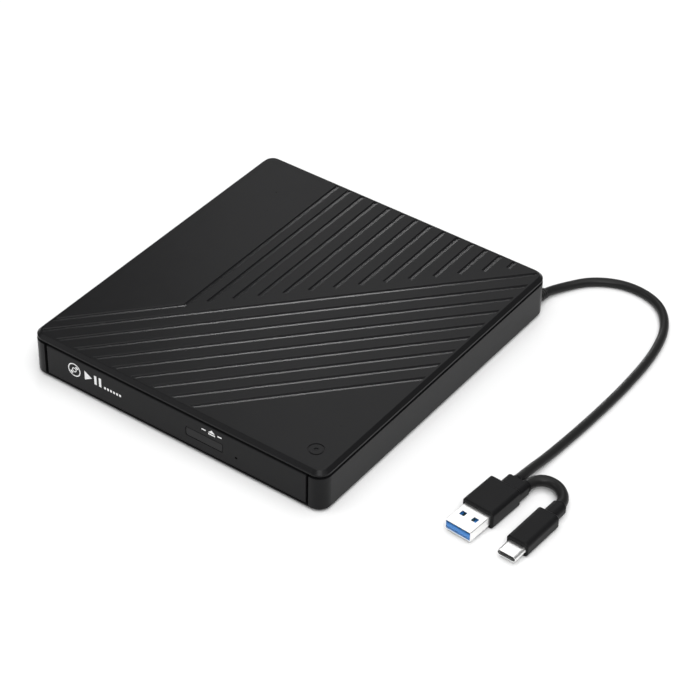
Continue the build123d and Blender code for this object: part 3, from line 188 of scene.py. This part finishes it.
# ---------------------------------------------------------------- material building blocks
class Shader:
    """A Principled material and short calls that add procedural detail to it."""

    def __init__(self, name, base, rough, metallic=0.0, specular=0.5):
        self.material = bpy.data.materials.new(name)
        self.material.use_nodes = True
        self.tree = self.material.node_tree
        self.shader = self.tree.nodes["Principled BSDF"]
        self.base = base
        self.rough = rough
        self.set("Base Color", (*base, 1.0))
        self.set("Roughness", rough)
        self.set("Metallic", metallic)
        self.set("Specular IOR Level", specular)
        coordinates = self.tree.nodes.new("ShaderNodeTexCoord")
        self.place = coordinates.outputs["Object"]
        self.height = None

    def set(self, socket, value):
        self.shader.inputs[socket].default_value = value

    def link(self, output, target):
        self.tree.links.new(output, target)

    def node(self, kind, **inputs):
        made = self.tree.nodes.new(kind)
        for socket, value in inputs.items():
            made.inputs[socket.replace("_", " ")].default_value = value
        return made

    def stretched(self, stretch):
        """Object coordinates scaled by a different factor on each axis."""
        mapping = self.node("ShaderNodeMapping")
        mapping.inputs["Scale"].default_value = stretch
        self.link(self.place, mapping.inputs["Vector"])
        return mapping.outputs["Vector"]

    def noise(self, scale, detail=3.0, stretch=(1, 1, 1)):
        texture = self.node("ShaderNodeTexNoise", Scale=scale, Detail=detail, Roughness=0.6)
        self.link(self.stretched(stretch), texture.inputs["Vector"])
        return texture.outputs["Fac"]

    def grain(self, scale):
        texture = self.node("ShaderNodeTexVoronoi", Scale=scale)
        self.link(self.place, texture.inputs["Vector"])
        return texture.outputs["Distance"]

    def lines(self, scale, direction="X"):
        texture = self.node("ShaderNodeTexWave", Scale=scale)
        texture.bands_direction = direction
        self.link(self.place, texture.inputs["Vector"])
        return texture.outputs["Fac"]

    def span(self, value, low, high):
        """Maps 0..1 to low..high."""
        ranged = self.node("ShaderNodeMapRange")
        ranged.inputs["To Min"].default_value = low
        ranged.inputs["To Max"].default_value = high
        self.link(value, ranged.inputs["Value"])
        return ranged.outputs["Result"]

    def ramp(self, value, start, end):
        """Contrast: 0 below start, 1 above end."""
        ranged = self.node("ShaderNodeMapRange")
        ranged.inputs["From Min"].default_value = start
        ranged.inputs["From Max"].default_value = end
        self.link(value, ranged.inputs["Value"])
        return ranged.outputs["Result"]

    def colours(self, value, dark, light):
        """Base colour between two shades."""
        mix = self.tree.nodes.new("ShaderNodeMix")
        mix.data_type = "RGBA"
        mix.inputs["A"].default_value = (*dark, 1.0)
        mix.inputs["B"].default_value = (*light, 1.0)
        self.link(value, mix.inputs["Factor"])
        self.link(mix.outputs["Result"], self.shader.inputs["Base Color"])
        return self

    def vary(self, value, amount):
        """Base colour a little darker and lighter than its mean."""
        dark = tuple(c * (1 - amount) for c in self.base)
        light = tuple(c * (1 + amount) for c in self.base)
        return self.colours(value, dark, light)

    def roughness(self, value, spread):
        self.link(self.span(value, self.rough - spread, self.rough + spread),
                  self.shader.inputs["Roughness"])
        return self

    def bump(self, value, depth, strength=1.0):
        bump = self.node("ShaderNodeBump", Strength=strength, Distance=depth)
        self.link(value, bump.inputs["Height"])
        if self.height is not None:
            self.link(self.height, bump.inputs["Normal"])
        self.height = bump.outputs["Normal"]
        self.link(self.height, self.shader.inputs["Normal"])
        return self


def moulded(name, base, rough, texture=1500.0, depth=0.00002, specular=0.5):
    """Moulded plastic: spark-eroded texture, faint flow marks and handling marks."""
    look = Shader(name, base, rough, specular=specular)
    return (look.vary(look.noise(60.0), 0.12).roughness(look.noise(240.0), 0.03)
            .bump(look.noise(texture, 2.0), depth))


def brushed(name, base, rough, stretch=(1, 14, 14)):
    """Rolled or drawn metal with fine streaks."""
    look = Shader(name, base, rough, metallic=1.0)
    streaks = look.noise(900.0, 4.0, stretch)
    return look.vary(streaks, 0.10).roughness(look.noise(150.0), 0.06).bump(streaks, 0.000008)


def rubber(name, base, rough):
    """Soft rubber with a fine matt skin."""
    look = Shader(name, base, rough, specular=0.35)
    return look.vary(look.noise(90.0), 0.15).roughness(look.noise(300.0), 0.04).bump(
        look.noise(2600.0, 2.0), 0.00002)


# ---------------------------------------------------------------- materials by slot
def case_plastic():
    return moulded("case_black", (0.0085, 0.0085, 0.009), 0.29, 900.0, 0.000006, specular=0.10)


def button_plastic():
    return moulded("button_black", (0.010, 0.010, 0.0105), 0.30, specular=0.16)


def foot_rubber():
    return rubber("foot_rubber", (0.03, 0.03, 0.03), 0.75)


def screw_steel():
    return brushed("screw_steel", (0.20, 0.20, 0.21), 0.38)


def foam():
    look = Shader("foam", (0.05, 0.05, 0.052), 0.95, specular=0.1)
    return look.vary(look.grain(1800.0), 0.35).bump(look.grain(1800.0), 0.0002)


def sheet_steel():
    """Zinc-plated sheet with its crystal pattern."""
    look = Shader("zinc_sheet", (0.56, 0.57, 0.58), 0.34, metallic=1.0)
    cells = look.grain(160.0)
    return look.vary(cells, 0.10).roughness(cells, 0.08).bump(
        look.noise(900.0, 4.0, (1, 12, 12)), 0.000006)


def rail_steel():
    return brushed("rail_steel", (0.50, 0.51, 0.52), 0.26, (14, 1, 14))


def connector_plastic():
    return moulded("connector_black", (0.03, 0.03, 0.03), 0.5)


def flex_film():
    """Polyimide film over parallel copper tracks."""
    look = Shader("flex_film", (0.55, 0.52, 0.44), 0.4)
    tracks = look.ramp(look.lines(500.0), 0.35, 0.6)
    return look.colours(tracks, (0.62, 0.60, 0.55), (0.48, 0.36, 0.20)).bump(tracks, 0.00001)


def circuit_board():
    """Solder resist over copper areas and tracks."""
    look = Shader("circuit_board", (0.02, 0.12, 0.05), 0.32)
    copper = look.ramp(look.grain(380.0), 0.22, 0.26)
    return look.colours(copper, (0.012, 0.075, 0.03), (0.03, 0.17, 0.07)).roughness(
        look.noise(300.0), 0.06).bump(copper, 0.00001)


def chip_black():
    return moulded("chip_black", (0.02, 0.02, 0.021), 0.55, 2400.0)


def tray_plastic():
    return moulded("tray_black", (0.030, 0.030, 0.031), 0.46, 1900.0)


def deck_black():
    return moulded("deck_black", (0.020, 0.020, 0.020), 0.58, 2600.0, 0.00001)


def deck_cast():
    look = Shader("deck_cast", (0.34, 0.34, 0.35), 0.5, metallic=1.0)
    return look.vary(look.noise(260.0), 0.15).roughness(look.noise(500.0), 0.06).bump(
        look.noise(1500.0), 0.00003)


def damper_rubber():
    return rubber("damper_rubber", (0.035, 0.035, 0.036), 0.8)


def bright_steel():
    return brushed("bright_steel", (0.62, 0.62, 0.63), 0.20, (1, 1, 18))


def hub_plastic():
    return moulded("hub_grey", (0.09, 0.09, 0.092), 0.4, 2200.0)


def lens_frame():
    return moulded("lens_frame", (0.03, 0.03, 0.032), 0.45, 2600.0)


def lens_glass():
    """Coated lens: dark glass, with a faint violet sheen towards its edge painted into the base
    colour.
    """
    look = Shader("lens_glass", (0.05, 0.07, 0.16), 0.06, specular=0.8)
    # painted sheen: the base colour turns from dark blue to violet where the surface faces away from
    # the view
    edge = look.node("ShaderNodeLayerWeight", Blend=0.35)
    return look.colours(edge.outputs["Facing"], (0.03, 0.05, 0.13), (0.30, 0.16, 0.42)).bump(
        look.noise(700.0), 0.000002)


def cord_jacket():
    """Extruded jacket with faint lengthwise draw marks."""
    look = Shader("cord_jacket", (0.014, 0.014, 0.014), 0.32, specular=0.12)
    return look.vary(look.noise(120.0), 0.2).roughness(look.noise(400.0), 0.05).bump(
        look.noise(1800.0, 2.0), 0.00002)


def plug_plastic():
    return moulded("plug_black", (0.007, 0.007, 0.0075), 0.42, 1700.0, specular=0.10)


def plug_shell():
    """Nickel-plated shell with light rub marks along its length."""
    look = Shader("plug_shell", (0.92, 0.92, 0.91), 0.32, metallic=1.0)
    rubs = look.noise(700.0, 4.0, (10, 1, 10))
    return look.vary(look.noise(200.0), 0.05).roughness(rubs, 0.07).bump(rubs, 0.000004)


def tongue_blue():
    return moulded("tongue_blue", (0.05, 0.23, 0.60), 0.35, 2400.0, 0.00001)


def gold():
    return brushed("gold", (0.83, 0.62, 0.28), 0.22, (10, 1, 10))


def core_black():
    return moulded("core_black", (0.03, 0.03, 0.03), 0.5, 2400.0, 0.00001)


def print_white():
    """Pad-printed ink, slightly uneven."""
    look = Shader("print_white", (0.80, 0.80, 0.80), 0.5)
    return look.vary(look.noise(2500.0), 0.08).roughness(look.noise(900.0), 0.05).bump(
        look.noise(5000.0), 0.000004)


SLOT_LOOKS = {
    "case_plastic": case_plastic, "button_plastic": button_plastic, "foot_rubber": foot_rubber,
    "screw_steel": screw_steel, "foam": foam, "sheet_steel": sheet_steel,
    "rail_steel": rail_steel, "connector_plastic": connector_plastic, "flex_film": flex_film,
    "circuit_board": circuit_board, "chip_black": chip_black, "tray_plastic": tray_plastic,
    "deck_black": deck_black, "deck_cast": deck_cast, "damper_rubber": damper_rubber,
    "bright_steel": bright_steel, "hub_plastic": hub_plastic, "lens_frame": lens_frame,
    "lens_glass": lens_glass, "cord_jacket": cord_jacket, "plug_plastic": plug_plastic,
    "plug_shell": plug_shell, "tongue_blue": tongue_blue, "gold": gold, "core_black": core_black,
}


def paint_nodes():
    """Gives each CAD node the material of its slot."""
    looks = {slot: make().material for slot, make in SLOT_LOOKS.items()}
    for name, node in NODES.items():
        node.data.materials.clear()
        node.data.materials.append(looks[SLOT_OF[name]])
    for cord in (main_cord, link_cord, back_relief):
        cord.data.materials.append(looks["cord_jacket"])
    for sleeve in (saddle_relief, link_relief, neck_relief):
        sleeve.data.materials.append(looks["plug_plastic"])


paint_nodes()


# ---------------------------------------------------------------- printed pictograms on the bezel
INK_T = 0.03 * MM
BEZEL_FACE_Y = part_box("tray_bezel")[0].y
BUTTON_LOW, BUTTON_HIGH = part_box("eject_button")
DISC_MARK = (-50.3, 11.1)        # x and z of the disc pictogram's centre, millimetres like all below
DISC_RIM, DISC_HUB, DISC_GLINT = (2.75, 3.2), (0.75, 1.15), (1.55, 2.35)    # inner, outer radius
GLINT_STARTS, GLINT_SWEEP, GLINT_STEPS = (24, 204), 42, 10
PLAY_X, PLAY_LONG, MARK_HALF_H = 5.4, 3.8, 2.2
BAR_OFFSETS, BAR_W = (5.0, 7.4), 1.2
DASH_X, DASH_DOWN, DASH_COUNT, DASH_PITCH = 15.4, 1.6, 6, 1.55
DASH_W, DASH_HALF_H = 0.95, 0.55
EJECT_OFFSET_X, EJECT_MARK_Z = 3.8, 13.95
EJECT_HALF_W, EJECT_TIP, EJECT_BASE = 1.7, 1.4, -0.1
EJECT_BAR = (-1.1, -0.55)
EJECT_DASH_NEAR, EJECT_DASH_FAR, EJECT_DASH_SPAN = 2.9, 4.9, (-0.35, 0.25)


def arc_band(centre, inner, outer, start, end, steps=24):
    """Outline of a band between two radii and two angles in degrees."""
    angles = [math.radians(start + (end - start) * k / steps) for k in range(steps + 1)]
    outside = [(centre[0] + outer * math.cos(a), centre[1] + outer * math.sin(a)) for a in angles]
    inside = [(centre[0] + inner * math.cos(a), centre[1] + inner * math.sin(a)) for a in angles]
    return outside + inside[::-1]


def rectangle(x0, x1, z0, z1):
    return [(x0, z0), (x1, z0), (x1, z1), (x0, z1)]


def ink(name, outlines, material):
    """Thin printed shapes on the bezel's face, from closed outlines in x and z."""
    mesh_builder = bmesh.new()
    for outline in outlines:
        front = [mesh_builder.verts.new((x * MM, BEZEL_FACE_Y - INK_T, z * MM)) for x, z in outline]
        back = [mesh_builder.verts.new((x * MM, BEZEL_FACE_Y, z * MM)) for x, z in outline]
        mesh_builder.faces.new(front)
        mesh_builder.faces.new(back[::-1])
        for k in range(len(front)):
            following = (k + 1) % len(front)
            mesh_builder.faces.new((front[k], back[k], back[following], front[following]))
    bmesh.ops.recalc_face_normals(mesh_builder, faces=mesh_builder.faces)
    mesh = bpy.data.meshes.new(name)
    mesh_builder.to_mesh(mesh)
    mesh_builder.free()
    piece = bpy.data.objects.new(name, mesh)
    bpy.context.scene.collection.objects.link(piece)
    piece.data.materials.append(material)
    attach(piece, "tray")
    return piece


def disc_pictogram():
    """A disc seen flat: rim in two halves, hub ring and two glints."""
    halves = (0, 180)
    shapes = [arc_band(DISC_MARK, *DISC_RIM, start, start + 180) for start in halves]
    shapes += [arc_band(DISC_MARK, *DISC_HUB, start, start + 180) for start in halves]
    shapes += [arc_band(DISC_MARK, *DISC_GLINT, start, start + GLINT_SWEEP, GLINT_STEPS)
               for start in GLINT_STARTS]
    return shapes


def play_pictogram():
    """A triangle and two bars beside the disc."""
    x, z = DISC_MARK[0] + PLAY_X, DISC_MARK[1]
    low, high = z - MARK_HALF_H, z + MARK_HALF_H
    bars = [rectangle(x + offset, x + offset + BAR_W, low, high) for offset in BAR_OFFSETS]
    return [[(x, low), (x + PLAY_LONG, z), (x, high)]] + bars


def dash_row():
    """A row of short dashes after the pictograms."""
    z = DISC_MARK[1] - DASH_DOWN
    starts = [DISC_MARK[0] + DASH_X + DASH_PITCH * k for k in range(DASH_COUNT)]
    return [rectangle(x, x + DASH_W, z - DASH_HALF_H, z + DASH_HALF_H) for x in starts]


def eject_pictogram():
    """A triangle over a bar, with a dash on each side, above the button."""
    x = (BUTTON_LOW.x + BUTTON_HIGH.x) / 2 / MM + EJECT_OFFSET_X
    z = EJECT_MARK_Z
    left, right, base = x - EJECT_HALF_W, x + EJECT_HALF_W, z + EJECT_BASE
    dash_low, dash_high = (z + edge for edge in EJECT_DASH_SPAN)
    return [[(left, base), (right, base), (x, z + EJECT_TIP)],
            rectangle(left, right, z + EJECT_BAR[0], z + EJECT_BAR[1]),
            rectangle(x - EJECT_DASH_FAR, x - EJECT_DASH_NEAR, dash_low, dash_high),
            rectangle(x + EJECT_DASH_NEAR, x + EJECT_DASH_FAR, dash_low, dash_high)]


WHITE = print_white().material
ink("print_disc", disc_pictogram(), WHITE)
ink("print_play", play_pictogram(), WHITE)
ink("print_dashes", dash_row(), WHITE)
ink("print_eject", eject_pictogram(), WHITE)


# ---------------------------------------------------------------- floor, world and lights
FLOOR_SIZE = 6.0
WORLD_STRENGTH = 0.20
RIGHT_OF_CENTRE = (0.05, 0.0, 0.0)        # on the case, on the plugs' side of its centre
CASE_CENTRE = (0.0, 0.0, 0.0)
SOFTBOXES = (                             # name, place, target, size in metres, watts
    ("overhead", (0.42, -0.22, 1.9), RIGHT_OF_CENTRE, (2.2, 2.2), 40.0),
    ("front_right", (0.78, -1.0, 1.25), RIGHT_OF_CENTRE, (0.9, 0.9), 11.0),
    ("front_left", (-1.3, -1.2, 1.1), CASE_CENTRE, (0.9, 0.9), 4.5),
    ("back_strip", (-0.77, 0.97, 0.275), CASE_CENTRE, (0.24, 0.10), 1.9),
    ("back_fill", (-0.32, 0.68, 0.78), RIGHT_OF_CENTRE, (0.5, 0.5), 1.2),
)


def make_floor():
    bpy.ops.mesh.primitive_plane_add(size=FLOOR_SIZE, location=(0, 0, 0))
    floor = bpy.context.object
    floor.name = "floor"
    look = Shader("floor_white", (0.86, 0.86, 0.86), 0.8, specular=0.1)
    floor.data.materials.append(look.vary(look.noise(8.0), 0.01).material)


def make_world():
    world = bpy.data.worlds.new("studio")
    world.use_nodes = True
    background = world.node_tree.nodes["Background"]
    background.inputs["Color"].default_value = (1.0, 1.0, 1.0, 1.0)
    background.inputs["Strength"].default_value = WORLD_STRENGTH
    bpy.context.scene.world = world


def softbox(name, place, target, size, watts):
    """A rectangular light that faces the target."""
    data = bpy.data.lights.new(name, "AREA")
    data.shape = "RECTANGLE"
    data.size, data.size_y = size
    data.energy = watts
    lamp = bpy.data.objects.new(name, data)
    bpy.context.scene.collection.objects.link(lamp)
    lamp.location = place
    lamp.rotation_euler = (Vector(target) - Vector(place)).to_track_quat("-Z", "Y").to_euler()


make_floor()
make_world()
for box in SOFTBOXES:
    softbox(*box)

bpy.context.scene.view_settings.view_transform = "Standard"
bpy.context.scene.view_settings.look = "None"
